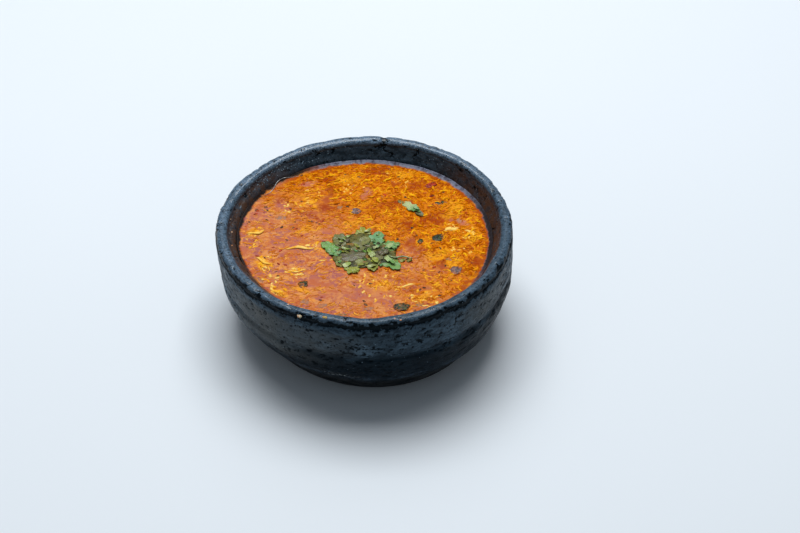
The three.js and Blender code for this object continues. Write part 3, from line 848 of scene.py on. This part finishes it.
def meat_finish(name, dark, light):
    """Finish of shreds: their own colour where bare, paler under the film, sauce at their brink."""
    meat = Finish(name, Specular_IOR_Level=0.03, Specular_Tint=(1.0, 0.7, 0.15, 1))
    bare = meat.attribute("meat")
    clumps = meat.mottle((4.5, 3, 0.6), 0.35, 0.62, 0.45, -0.55)
    grain = meat.mottle((1.4, 3), 0.3, 0.7, -0.3, 0.3)
    tone = meat.ease(meat.plus(meat.attribute("tone"), meat.plus(clumps, grain)), 0, 1)
    meat.paint(
        meat.blend(tone, dark, light),
        ("golden", 0.5, (1.0, 0.50, 0.02)),
        ("deep", 0.6, (0.50, 0.080, 0.0003)),
        (meat.math("SUBTRACT", 1.0, bare), meat.blend(tone, (0.58, 0.14, 0.010), (0.90, 0.38, 0.05))),
        ("brink", 0.8, meat.blend(bare, (0.56, 0.15, 0.025), (0.52, 0.115, 0.001))),
    )
    meat.gloss((1.0, 2), 0.25, 0.45)
    meat.bump((0.5, 3, 0.6), 0.1)
    return meat.material


def clump_rows(seed):
    """Rows for Strands: the short shreds of the pale clumps."""
    rng = np.random.default_rng(seed)
    rows = []
    for x, y, radius, heading, spread, count in PALE_CLUMPS:
        for _ in range(count):
            far = radius * math.sqrt(rng.random())
            angle = rng.uniform(0, TURN)
            rows.append((
                *headed(x, y, angle, far, 0), heading + rng.normal(0, spread),
                rng.uniform(1.8, 4.6), rng.uniform(0.8, 2.3),
                rng.uniform(0.2, 1.4) * rng.choice([-1, 1]),
            ))
    return [row for row in rows if math.hypot(row[0], row[1]) < SHRED_REACH - 2]


def density(x, y):
    """Share of the fine fibres that a place has: less in the smooth oily patches."""
    open_share = 1 - 0.7 * deep_share(x, y) - 0.35 * patches(GOLDEN_OIL[:2], x, y, 28)
    open_share *= 1 - 0.35 * milky_share(x, y)
    open_share *= 1 - 0.8 * milky_share(x, y, FRONT_FILM)
    return (0.2 + meat_share(x, y)) * ease(waves(x, y, 8, 47), -0.75, 0.1) * open_share


def depth_share(x, y):
    """Share of the sunken strands that a place has: less in the smooth film at the front."""
    return (1.05 - meat_share(x, y)) * (1 - 0.85 * milky_share(x, y, FRONT_FILM))


def make_shreds(name, strands, dark, light, sides, is_pale=False):
    """Strands lying in the stew: flatter where sauce covers them, and the pale ones everywhere."""
    share = meat_share(strands.x, strands.y)
    level = stew_level(strands.x, strands.y) + mix(0.02, 0.2, share)
    flatness = 0.32 + 0 * share if is_pale else mix(0.22, 0.7, share)
    vertices, faces, attributes = strands.mesh(level, sides, flatness)
    attributes["meat"] = np.repeat(1 + 0 * share if is_pale else share, sides)
    attributes["deep"] = np.repeat(deep_share(strands.x, strands.y), sides)
    attributes["golden"] = np.repeat(golden_share(strands.x, strands.y), sides)
    piece(name, (vertices, faces, attributes), meat_finish(name, dark, light))


def make_grease_and_highlight_line():
    # A pale strand of fat that also stands in for the highlight along the sauce's curved edge: painted
    # highlight.
    arc = Strands([GREASE_AND_HIGHLIGHT_LINE], 46, stations=40)
    arc.half = 0.22 * (1 - 3.6 * arc.t**2)
    arc.rise[:] = 0.5
    colours = (0.18, 0.19, 0.2), (0.6, 0.6, 0.58)
    line_finish = two_toned("grease_and_painted_highlight", (2, 3), (0.35, 0.65), colours, (0.2, 0.4), (0.4, 2), 0.05)
    piece("grease_and_highlight_line", arc.mesh(stew_level(arc.x, arc.y) + 0.1), line_finish)


def make_stew():
    fine = Strands(fibres(FINE_COUNT, 40, (1.8, 5.2), (0.55, 1.15), density, 1.8), 41, 5)
    sunk = Strands(fibres(SUNK_COUNT, 42, (3, 9), (0.9, 2.2), depth_share, 1.4), 43)
    large = Strands(fibres(LARGE_COUNT, 44, (3, 7.5), (0.9, 1.8), density, 2.4), 45, 12)
    pale = Strands(NOTABLE_SHREDS + clump_rows(48), 49, 10)
    pale.rise -= 0.15
    pale.rise[:len(NOTABLE_SHREDS)] += 0.35
    pale.tone[:len(NOTABLE_SHREDS)] = 0.9
    mat = np.maximum(stamp(fine, 1.5), np.maximum(stamp(large, 1.4), stamp(pale, 1.3)))
    stew = piece("stew_sauce", stew_mesh(mat, stamp(sunk, 1.3)), stew_finish())
    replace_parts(stew, "stew")
    make_shreds("fine_meat_fibres", fine, (0.44, 0.080, 0.0002), (0.97, 0.39, 0.006), 5)
    make_shreds("meat_shreds", large, (0.62, 0.15, 0.0004), (0.98, 0.49, 0.010), 6)
    make_shreds("pale_shreds", pale, (0.90, 0.38, 0.014), (1.0, 0.71, 0.19), 8, is_pale=True)
    make_grease_and_highlight_line()


# ---------- coriander ----------

# Leaves of the heap, where the part has them, from the lowest to the topmost: x, y, heading,
# length, width, rise, lobes, curl, place in the row of leaf colours, paleness and its dome's height.
HEAP_LEAVES = [
    (-18.3, -7.5, 2.6, 13, 10, 1.3, 3, 0.6, 0.18), (-12.5, -2, 2.2, 13, 11, 1.0, 3, 0.6, 0.74),
    (-1, 4, 1.7, 12, 10, 0.8, 5, 0.6, 0.48, 0.3), (4, -21.5, -1.4, 12, 10, 1.0, 3, 0.6, 0.60),
    (-6.5, -24, -1.9, 12, 10, 1.0, 5, 0.6, 0.52), (-11.5, -19.5, -2.4, 10, 8, 0.8, 3, 0.6, 0.70),
    (-15.5, -12.5, 3.3, 8, 6, 1.1, 3, 0.6, 0.05), (-6.5, -15.5, 0.2, 17, 10, 1.2, 3, 0.3, 0.95, 0, 0.9),
    (-2, -5, 1.2, 14, 12, 1.2, 3, 0.4, 0.80, 0, 0.5), (8.5, -12, 0.4, 10, 8, 1.3, 3, 0.6, 0.90),
    (3.5, -16.5, -1.2, 10, 6, 1.3, 3, 0.6, 0.50), (14, -20, -0.9, 16, 11, 0.9, 3, 0.9, 0.14),
    (13, -7, 0.3, 13, 10, 1.3, 5, 0.9, 0.16), (6, -1, 1.1, 13, 11, 1.5, 3, 0.8, 0.0),
]
# Smaller leaves and bits of leaf that show on them. Two pale ones, at -14.3, -12.5 and at 6.5, -8.4, stand in
# for glints on the wet leaves: painted highlights.
SMALL_LEAVES_AND_GLINTS = [
    (-11, -16.5, 0.4, 10, 7, 1.3, 1, 0.3, 0.70), (-2, -20.5, 0.2, 10, 6, 1.3, 1, 0.4, 0.66),
    (-4, -9.5, 0.1, 9, 5, 1.5, 1, 0.3, 0.78), (7, -15.5, -0.8, 8, 5, 1.5, 1, 0.4, 0.86),
    (-14.3, -12.5, 0.5, 5, 3, 1.3, 3, 0.8, 0.0, 0.5),
    (-11.9, -1.7, 0.4, 3.4, 1.8, 2.3, 1, 0.3, 0.4, 1.0),
    (-13, -4.2, 0.2, 2.8, 1.6, 2.3, 1, 0.3, 0.4, 0.9),
    (-10.6, -10, -0.5, 6, 2.2, 2.6, 1, 0.3, 0.4, 1.0), (-9.7, -2.8, 0.8, 4, 3, 1.9, 3, 0.5, 1.0),
    (-9.2, 0.6, 0.7, 3.5, 1.8, 2.0, 1, 0.4, 0.4, 0.7), (-13.4, -4.3, 2.2, 9, 7, 1.4, 1, 0.3, 0.74),
    (-0.5, -3.3, 0.9, 9, 7, 1.8, 1, 0.4, 0.72), (-4.5, -7, -0.9, 6, 2, 2.1, 1, 0.4, 0.60),
    (6.5, -8.4, 0.4, 6.5, 2.4, 2.5, 3, 0.9, 0.1, 1.0), (14.1, -7.5, -0.6, 8, 5, 2.0, 3, 0.9, 0.1, 0.7),
    (9.8, -12.5, 0.2, 7, 5, 2.0, 3, 0.6, 0.97), (3.4, -14.2, 2.2, 7, 4.4, 2.5, 3, 0.9, 0.36, 0.8),
    (5.5, -18.3, -1.1, 7, 3.6, 2.0, 1, 0.7, 0.5, 0.2), (-9.8, -22.6, 0.5, 6, 4, 1.7, 1, 0.6, 0.4, 1.0),
    (-5.5, -27, -0.6, 6, 3.6, 1.2, 5, 0.6, 0.52, 0.5),
    (3.5, -23.6, 0.2, 6.5, 2.4, 1.6, 1, 0.5, 0.6, 0.8),
    (13.2, -18.6, -0.9, 10, 4, 1.9, 3, 0.9, 0.15, 0.7), (1, 5.5, 0.3, 5, 2, 2.0, 1, 0.6, 0.45, 0.9),
    (20, -18.2, 0.3, 4, 2.6, 0.9, 3, 0.6, 0.55, 0.3), (23.7, -18.2, 0.1, 3.6, 2.2, 0.8, 3, 0.6, 0.6),
]
LONE_LEAF = (25, 26.8, -0.8, 15, 6.8, 1.4, 5, 1.0, 0.15, 1.0)
# Scraps of leaf beside the loose one. The first, dark brown, lies at the loose leaf's right end where shade
# falls: painted shade. The second, blue-green, stands in for a highlight on it: painted highlight.
LEAF_SCRAPS_AND_PAINTED_LIGHT = [
    (29.4, 21.2, -0.8, 6.5, 4, 1.2, 1, 0.3, 0.92), (27.8, 24.6, -0.7, 5.5, 2.2, 2.3, 1, 0.3, 0.0, 0.5),
    (19.2, 31.6, -0.8, 4.6, 2.6, 0.9, 1, 0.3, 0.74),
]
LEAF_COLOURS = [
    (0.128, 0.315, 0.130),  # blue green
    (0.165, 0.335, 0.058),  # bright green
    (0.320, 0.340, 0.040),  # yellow green
    (0.150, 0.140, 0.042),  # olive
    (0.120, 0.088, 0.060),  # brown
]
LEAF_SPOKES = 64
LEAF_ROWS = 6
LEAF_THICKNESS = 0.3
SETTLING = 0.6  # by which leaves lie lower than the solid ones, which keep clear of the stew
FRAGMENT_COUNT = 20

# Stalks, where the part has them: x, y, heading, length, width, turn; and how high each lies.
STALKS = [
    (-12.5, -2, -0.5, 5, 1.1, 0.1), (-11, -10, -0.4, 6, 1.1, 0.2), (19, -16.3, -0.1, 13, 0.9, 0.3),
]
STALK_RISES = np.array([[1.8], [1.9], [1.3]])


def leaf(x, y, heading, length, width, rise, lobes, curl, hue, pale=0.0, dome=0.0):
    """A lobed, toothed and wavy leaf with two faces.

    It is pale by that share at its start, which falls to none at its tip. Brown leaves are
    smoother, as they lie under a film of sauce."""
    angle = TURN * np.arange(LEAF_SPOKES) / LEAF_SPOKES
    row = (np.arange(1, LEAF_ROWS + 1) / LEAF_ROWS)[:, None]
    middle = np.abs(np.cos(lobes * angle / 2))
    fresh = mix(0.35, 1, ease(-hue, -0.72, -0.58))
    lobe = 1 - 0.36 * fresh * row * (1 - middle**0.7)
    tooth = 1 - 0.11 * row * (1 - np.abs(np.cos(4 * angle))) - 0.07 * row**3 * np.abs(np.sin(11 * angle))
    along = length / 2 * row * lobe * tooth * np.cos(angle)
    across = width / 2 * row * lobe * tooth * np.sin(angle)
    px, py = headed(x, y, heading, along, across)
    vein = middle**24 + 0.5 * np.abs(np.cos(4 * angle + 6 * row)) ** 20
    ripple = 0.35 * row**2 * np.sin(2 * lobes * angle + x)
    crinkle = fresh * (0.36 * row * waves(px + 3 * rise, py, 1.9, 60) - 0.22 * np.minimum(vein, 1))
    bend = 0.6 * curl * row**2 * np.cos(angle) + dome * (1 - row**2)
    free = STEW_LEVEL + rise - SETTLING + bend + ripple + crinkle
    below = stacked(px, py, np.maximum(free, stew_level(px, py) + 0.05))
    above = below + [0, 0, LEAF_THICKNESS]
    vertices, faces, _ = closed_grid(np.vstack([below, above[::-1]]))

    def both(values, centre):
        """Values of the lower and the upper face, and of their two middles."""
        return [*np.vstack([values, values[::-1]]).ravel(), centre, centre]

    return vertices + RIM_CENTRE, faces, {
        "hue": both(hue + 0.05 * waves(px, py, 2.2, 61), hue),
        "vein": both(np.minimum(fresh * vein * row, 1), 0),
        "pale": both(pale * ease(-row * np.cos(angle), -0.5, 0.3), pale / 2),
    }


def leaves_of(rows):
    return joined([leaf(*row) for row in rows])


def fragments(count, seed, length, width, lift):
    """Rows for leaf: small leaves strewn over the heap, the inner ones higher."""
    rng = np.random.default_rng(seed)
    share = np.sqrt(rng.random(count))
    angle = rng.uniform(0, TURN, count)
    return [
        (
            HEAP[0] + 1.05 * HEAP_WIDTH / 2 * r * math.cos(a),
            HEAP[1] + 1.05 * HEAP_DEPTH / 2 * r * math.sin(a),
            rng.uniform(0, 6), rng.uniform(*length), rng.uniform(*width),
            1.0 + lift * (1 - 0.6 * r * r) * rng.uniform(0.4, 1),
            rng.choice([1, 3, 5]), rng.uniform(0.5, 1.4),
            rng.choice([0.02, 0.1, 0.12, 0.25, 0.42, 0.5, 0.72, 0.9]),
        )
        for r, a in zip(share, angle)
    ]


def leaf_finish():
    leaves = Finish("coriander", Specular_IOR_Level=0.15, Coat_Weight=0.16, Coat_Roughness=0.06, Coat_IOR=1.4)
    leaves.paint(
        leaves.row(LEAF_COLOURS),
        (leaves.mottle((1.2, 4, 0.6), 0.5, 0.7, 0, 0.4), (0.27, 0.33, 0.09)),
        (leaves.mottle((1.8, 3, 0.6), 0.54, 0.68, 0, 0.6), (0.035, 0.060, 0.022)),
        ("vein", 0.45, (0.30, 0.38, 0.12)),
        # pale stems and leaves, and on the two glint pieces a painted highlight
        ("pale", (0.47, 0.52, 0.24)),
        (leaves.ease(leaves.height(), STEW_LEVEL + 0.2, STEW_LEVEL + 0.8, 0.5, 0), (0.26, 0.16, 0.025)),
    )
    leaves.gloss((1.5, 3), 0.18, 0.4)
    leaves.bump((0.7, 2, 0.5), 0.07)
    return leaves.material


def heap_core():
    """The pressed middle of the heap, as in the part."""
    u, v, w = ball_of(24, 96)
    edge = 1 + 0.07 * np.cos(3 * np.arctan2(v, u) + 1)
    x = HEAP[0] + HEAP_WIDTH / 2 * edge * u
    y = HEAP[1] + HEAP_DEPTH / 2 * edge * v
    flat = np.sign(w) * np.sqrt(np.abs(w))
    height = np.where(flat > 0, HEAP_RISE, HEAP_SINK) * flat
    height = height + 0.25 * ease(flat, 0.2, 0.8) * waves(x, y, 2, 62)
    return closed_grid(stacked(x, y, STEW_LEVEL + height) + RIM_CENTRE)


def pressed_leaves():
    """Finish of the core: dark wet leaves in sauce."""
    wet = Finish("pressed_coriander", Specular_IOR_Level=0.12)
    wet.paint(
        (0.025, 0.030, 0.006),
        (wet.mottle((2.5, 3), 0.4, 0.6), (0.13, 0.115, 0.024)),
        (wet.mottle((4, 3), 0.56, 0.66), (0.26, 0.13, 0.02)),
    )
    wet.gloss((1.5, 2), 0.15, 0.35)
    wet.bump((0.8, 3), 0.2)
    return wet.material


def make_stalks():
    stalks = Strands(STALKS, 64, stations=14)
    stalks.half = np.maximum(stalks.half, 0.35)
    green = two_toned(
        "coriander_stalk", (1.5, 3), (0.35, 0.65), ((0.13, 0.20, 0.06), (0.36, 0.42, 0.20)),
        (0.25, 0.4), (0.5, 2, 0.55, (4, 1, 1)), 0.08, Subsurface_Weight=0.1, Subsurface_Scale=0.0005,
    )
    mesh = stalks.mesh(STEW_LEVEL + STALK_RISES + 0 * stalks.x, 8, 1.0)
    piece("coriander_stalks", mesh, green)


def make_coriander():
    finish = leaf_finish()
    core = piece("coriander_core", heap_core(), pressed_leaves())
    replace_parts(core, "coriander_heap")
    strewn = fragments(FRAGMENT_COUNT, 65, (1.6, 3.6), (1.0, 2.4), 1.5)
    piece("coriander_leaves", leaves_of(HEAP_LEAVES + SMALL_LEAVES_AND_GLINTS + strewn), finish)
    make_stalks()
    piece("leaf_scraps_and_painted_light", leaves_of(LEAF_SCRAPS_AND_PAINTED_LIGHT), finish)
    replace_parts(piece("loose_leaf", leaf(*LONE_LEAF), finish), "coriander_leaf")


# ---------- pieces afloat ----------

# As in the part: name, node, x, y, heading, length, width, height, kind; and how much deeper it sinks.
BITS = [
    ("cooked_herb_1", "herb_piece_1", 39.5, 0.8, 0.3, 8.4, 6.4, 2.6, "herb", 0.05),
    ("cooked_herb_2", "herb_piece_2", 30, -2.2, 1, 4.4, 3.4, 2, "herb", 0),
    ("cooked_herb_3", "herb_piece_3", 20, -55.3, 0.1, 9, 6.4, 2.6, "herb", 0.12),
    ("cooked_herb_4", "herb_piece_4", -32.3, -37, 1.2, 6.4, 5.2, 2.4, "herb", 0.25),
    ("cooked_herb_5", "herb_piece_5", 41, 30.5, 0.2, 7.4, 5.4, 2.4, "herb", 0.25),
    ("onion_bit_1", "onion_piece_1", 48.7, -26, 0.5, 6.4, 6.2, 2.4, "onion", 0.2),
    ("onion_bit_2", "onion_piece_2", -5.5, 23.4, 0.4, 6, 6, 2.4, "onion", 0.1),
    ("pepper_bit", "pepper_piece", 36, 46.3, 0.5, 7.6, 4.2, 2.4, "pepper", 0),
]
BIT_RISE = 0.3
BIT_FLATNESS = 0.5  # of the part of each that stands out of the sauce
BIT_COLOURS = {
    "herb": ((0.010, 0.014, 0.005), (0.060, 0.088, 0.026)),
    "onion": ((0.090, 0.055, 0.055), (0.29, 0.19, 0.175)),
    "pepper": ((0.15, 0.006, 0.002), (0.46, 0.035, 0.006)),
}
# Specks: name, count, slot, colours.
SPECKS = [
    ("dark_specks", 120, "herb", ((0.050, 0.022, 0.008), (0.20, 0.070, 0.025))),
    ("red_flecks", 80, "pepper", ((0.22, 0.014, 0.002), (0.50, 0.05, 0.004))),
]
# Soft bits sunk in the sauce: x, y, heading, length, width and place in the row of their colours.
SOFT_BITS = [
    (-8.9, 44.6, 0.6, 8, 5, 0.45), (-13.6, 27, 0.2, 5.5, 4, 0.4), (-46.2, 18.4, 0.1, 7, 4, 0.15),
    (-21.8, -54, 0.3, 6, 3.4, 0.1), (29.3, -53.2, 0.2, 5, 4, 0.65), (2.7, -56.3, 0.1, 6, 3.4, 0.1),
    (-11.8, -61, 0, 6, 2, 0.7), (46.2, -15.3, 0.9, 8, 6, 0.7), (51.7, 16.6, 1.2, 6, 4, 0.0),
    (-56.2, -34.1, -0.8, 7, 4, 0.2), (-30.8, -50.8, -0.5, 6, 4, 0.12), (8, 36, 0.4, 5, 3.4, 0.1),
]
SOFT_COLOURS = [
    (0.44, 0.20, 0.12),  # pink
    (0.20, 0.12, 0.10),  # violet grey
    (0.22, 0.19, 0.10),  # grey
    (0.13, 0.10, 0.03),  # olive
    (0.02, 0.03, 0.02),  # dark green
]
# Crumbs stuck to the bowl: angle, radius, height, length, width and place in the row of their colours. The
# whitish ones on the front of the rim's top stand in for glints there: painted highlights.
CRUMBS_AND_GLINTS = [
    (-2.118, 75.8, 62.6, 1.4, 1.0, 1.0), (-2.023, 74.8, 62.0, 2.8, 1.3, 0.35),
    (-2.004, 79.4, 61.0, 2.8, 1.9, 0.85), (-1.827, 77.2, 62.5, 3.0, 2.0, 0.5),
    (-1.558, 73.6, 60.6, 2.0, 1.3, 0.2), (-1.361, 77.0, 62.6, 1.6, 1.2, 1.0),
    (-1.325, 78.2, 62.2, 1.3, 1.0, 1.0), (0.716, 76.5, 62.6, 1.0, 0.8, 1.0),
    (3.115, 71.3, 57.4, 1.2, 0.9, 0.9), (-3.008, 71.7, 58, 1.0, 0.8, 0.9),
    (2.988, 73.0, 60.0, 1.0, 0.8, 0.9),
]
# the last, whitish, is for the painted glints on the rim
CRUMB_AND_GLINT_COLOURS = [(0.62, 0.26, 0.03), (0.55, 0.42, 0.09), (0.32, 0.33, 0.13), (0.62, 0.62, 0.55)]


def lump(x, y, heading, length, width, height, level, seed, rows=20, columns=40):
    """A crumpled, dented piece of food."""
    u, v, w = ball_of(rows, columns)
    ball = stacked(u, v, w)
    dent = 1 + 0.1 * np.sin(3 * u + x) * np.cos(3 * v + y)
    dent = dent + 0.16 * noise(ball * [1.7, 1.7, 0.5] + seed + 3, 70)
    dent = dent + 0.1 * noise(ball * [5, 5, 1] + seed, 71)
    folds = 0.5 * noise(ball * [2.2, 3.6, 1] + seed, 72) + 0.3 * noise(ball * 6 + seed, 73)
    px, py = headed(x, y, heading, u * length / 2 * dent, v * width / 2 * dent)
    rise = np.where(w > 0, BIT_FLATNESS, 1) * w * height / 2 * (1 + folds)
    return closed_grid(stacked(px, py, level + rise) + RIM_CENTRE)


def bit_finish(kind):
    dark, light = BIT_COLOURS[kind]
    bit = Finish(f"cooked_{kind}", Specular_IOR_Level=0.15)
    frayed = bit.plus(bit.height(), bit.mottle((1.8, 4, 0.7), 0.3, 0.7, -0.4, 0.4))
    bit.paint(
        dark,
        (bit.mottle((1.6, 4, 0.65, (1, 1, 1), 0.8), 0.45, 0.6), light),
        (bit.ease(frayed, STEW_LEVEL + 0.15, STEW_LEVEL + 0.7, 0.9, 0.0), (0.42, 0.10, 0.003)),
    )
    bit.gloss((1, 3), 0.15, 0.4)
    bit.bump((0.6, 3), 0.15)
    return bit.material


def make_bits():
    finishes = {kind: bit_finish(kind) for kind in BIT_COLOURS}
    for seed, (name, node, x, y, heading, length, width, height, kind, sink) in enumerate(BITS):
        mesh = lump(x, y, heading, length, width, height, STEW_LEVEL + BIT_RISE - sink, seed)
        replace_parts(piece(name, mesh, finishes[kind]), node)


def make_specks():
    """Small dark and red specks afloat, each a flat dented grain."""
    rng = np.random.default_rng(50)
    for name, count, slot, colours in SPECKS:
        x, y = scatter(count, rng, lambda x, y: 0.5 + 0 * x, SHRED_REACH - 1)
        size = rng.uniform(0.55, 1.3, count) ** 1.6
        level = stew_level(x, y) + 0.2 * meat_share(x, y)
        mesh = joined([
            lump(x[k], y[k], rng.uniform(-1, 1), 1.8 * size[k], size[k], 0.5 * size[k], level[k], k, 5, 9)
            for k in range(count)
        ])
        speckled = two_toned(
            name, (2.5, 3), (0.4, 0.6), colours, (0.2, 0.4), (0.5, 2), 0.05, Specular_IOR_Level=0.1,
        )
        piece(name, mesh, speckled)


def soft_finish(name, colours, size):
    """Finish of small soft food, mottled with the sauce."""
    soft = Finish(name, Specular_IOR_Level=0.15)
    stained = soft.mottle((size, 4, 0.65), 0.42, 0.6, 0.15, 0.9)
    soft.paint(soft.row(colours), (stained, (0.52, 0.15, 0.02)))
    soft.gloss((1, 2), 0.2, 0.4)
    soft.bump((0.6, 3), 0.1)
    return soft.material


def make_small_bits():
    bits = []
    for seed, (x, y, heading, length, width, hue) in enumerate(SOFT_BITS):
        level = float(stew_level(x, y)) - 0.15
        bits.append(tinted(lump(x, y, heading, length, width, 1.6, level, seed + 20, 14, 28), hue))
    piece("soft_bits", joined(bits), soft_finish("soft_bits", SOFT_COLOURS, 2.2))
    stuck_lumps = []
    for seed, (angle, radius, height, length, width, hue) in enumerate(CRUMBS_AND_GLINTS):
        x, y, level = hand_made(np.array([radius * math.cos(angle), radius * math.sin(angle), height]))
        heading = angle + math.pi / 2
        stuck_lumps.append(tinted(lump(x, y, heading, length, width, width, level, seed + 40, 8, 14), hue))
    piece("stuck_crumbs_and_glints", joined(stuck_lumps), soft_finish("stuck_crumbs_and_glints", CRUMB_AND_GLINT_COLOURS, 3))


# ---------- camera, light and floor, in metres ----------

FLOOR_REACH = 6.0


def area_light(name, place, size, power, colour, toward=(0, 0, 0.05), roll=0.0):
    """A flat soft light, facing a point."""
    data = bpy.data.lights.new(name, "AREA")
    data.shape = "RECTANGLE"
    data.size, data.size_y = size
    data.energy = power
    data.color = colour
    light = placed(name, data)
    light.location = place
    away = light.location - type(light.location)(toward)
    light.rotation_mode = "QUATERNION"
    facing = away.to_track_quat("Z", "Y")
    light.rotation_quaternion = facing @ type(facing)((0, 0, 1), roll)


def make_studio():
    world = bpy.data.worlds.new("room")
    world.use_nodes = True
    background = world.node_tree.nodes["Background"]
    background.inputs["Color"].default_value = (0.80, 0.90, 1.0, 1)
    background.inputs["Strength"].default_value = 0.22
    bpy.context.scene.world = world
    area_light("overhead", (0.0, 0.5, 1.45), (1.1, 0.9), 22, (0.95, 0.98, 1.0))
    area_light("back_panel", (-0.274, 1.25, 1.62), (2.0, 1.0), 8.8, (0.9, 0.95, 1.0), roll=0.5)


def make_floor():
    data = bpy.data.meshes.new("floor")
    corners = [(FLOOR_REACH * x, FLOOR_REACH * y, 0) for x, y in ((-1, -1), (1, -1), (1, 1), (-1, 1))]
    data.from_pydata(corners, [], [(0, 1, 2, 3)])
    paper = Finish("floor_white", Roughness=0.75)
    paper.set("Base Color", paper.blend(paper.noise(400, 2), (0.74, 0.775, 0.81), (0.78, 0.815, 0.85)))
    data.materials.append(paper.material)
    placed("floor", data)


def make_camera():
    data = bpy.data.cameras.new("camera")
    data.lens = 99
    data.sensor_width = 36
    camera = placed("camera", data)
    camera.location = (0.01926, -0.91094, 0.81760)
    camera.rotation_euler = (math.radians(49.289), 0, 0)
    bpy.context.scene.camera = camera


make_camera()
make_studio()
make_floor()
make_bowl()
make_stew()
make_coriander()
make_bits()
make_specks()
make_small_bits()

bpy.context.scene.view_settings.view_transform = "Standard"
